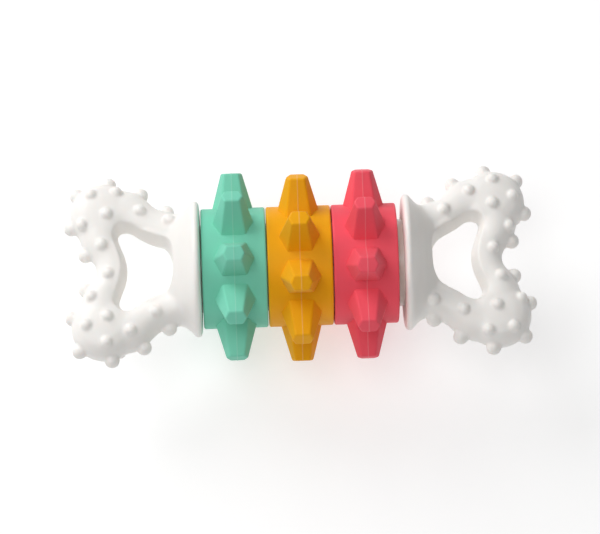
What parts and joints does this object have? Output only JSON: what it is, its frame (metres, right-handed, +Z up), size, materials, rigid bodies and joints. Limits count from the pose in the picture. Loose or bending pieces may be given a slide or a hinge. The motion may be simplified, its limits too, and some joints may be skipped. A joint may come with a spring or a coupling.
{
  "type": "baby rattle",
  "caption": "Bone-shaped rattle: two nubbed loop handles joined by a hollow core that carries free-turning rings with blunt spikes.",
  "frame": {"origin": "centre of the core, midway between the two ends", "axes": "+X along the core towards the right handle, +Y across the loops in their own plane, +Z up out of that plane"},
  "size_m": [0.1568, 0.068, 0.0635],
  "materials": {
    "handle_white": "satin",
    "core_white": "gloss",
    "hard_plastic": "satin",
    "ring_green": "matte",
    "ring_yellow": "matte",
    "ring_pink": "matte",
    "seal_rubber": "matte",
    "bead_plastic": "gloss"
  },
  "bodies": {
    "root": {"left_handle": "handle_white", "right_handle": "handle_white", "left_hub": "hard_plastic", "right_hub": "hard_plastic", "core_tube": "core_white", "left_chamber_cap": "hard_plastic", "right_chamber_cap": "hard_plastic", "left_cap_seal": "seal_rubber", "right_cap_seal": "seal_rubber"},
    "green_liner": {"green_liner": "hard_plastic"},
    "green_ring": {"green_ring": "ring_green"},
    "yellow_liner": {"yellow_liner": "hard_plastic"},
    "yellow_ring": {"yellow_ring": "ring_yellow"},
    "pink_liner": {"pink_liner": "hard_plastic"},
    "pink_ring": {"pink_ring": "ring_pink"},
    "rattle_bead_1": {"rattle_bead_1": "bead_plastic"},
    "rattle_bead_2": {"rattle_bead_2": "bead_plastic"},
    "rattle_bead_3": {"rattle_bead_3": "bead_plastic"},
    "rattle_bead_4": {"rattle_bead_4": "bead_plastic"},
    "rattle_bead_5": {"rattle_bead_5": "bead_plastic"}
  },
  "joints": [
    {"name": "green_float", "type": "slide", "parent": "root", "child": "green_liner", "axis": [1, 0, 0], "range_m": [0, 0.0017]},
    {"name": "green_spin", "type": "hinge", "parent": "green_liner", "child": "green_ring", "pos_m": [-0.0217, 0, 0], "axis": [1, 0, 0], "continuous": true},
    {"name": "yellow_float", "type": "slide", "parent": "root", "child": "yellow_liner", "axis": [1, 0, 0], "range_m": [0, 0.0017]},
    {"name": "yellow_spin", "type": "hinge", "parent": "yellow_liner", "child": "yellow_ring", "pos_m": [0, 0, 0], "axis": [1, 0, 0], "continuous": true},
    {"name": "pink_float", "type": "slide", "parent": "root", "child": "pink_liner", "axis": [1, 0, 0], "range_m": [0, 0.0017]},
    {"name": "pink_spin", "type": "hinge", "parent": "pink_liner", "child": "pink_ring", "pos_m": [0.0217, 0, 0], "axis": [1, 0, 0], "continuous": true},
    {"name": "bead_1_roll", "type": "hinge", "parent": "root", "child": "rattle_bead_1", "pos_m": [-0.0188, 0, 0], "axis": [1, 0, 0], "continuous": true},
    {"name": "bead_2_roll", "type": "hinge", "parent": "root", "child": "rattle_bead_2", "pos_m": [-0.0094, 0, 0], "axis": [1, 0, 0], "continuous": true},
    {"name": "bead_3_roll", "type": "hinge", "parent": "root", "child": "rattle_bead_3", "pos_m": [0, 0, 0], "axis": [1, 0, 0], "continuous": true},
    {"name": "bead_4_roll", "type": "hinge", "parent": "root", "child": "rattle_bead_4", "pos_m": [0.0094, 0, 0], "axis": [1, 0, 0], "continuous": true},
    {"name": "bead_5_roll", "type": "hinge", "parent": "root", "child": "rattle_bead_5", "pos_m": [0.0188, 0, 0], "axis": [1, 0, 0], "continuous": true}
  ],
  "couplings": [
    {"joint": "yellow_float", "follows": "green_float", "ratio": 1},
    {"joint": "pink_float", "follows": "green_float", "ratio": 1}
  ]
}
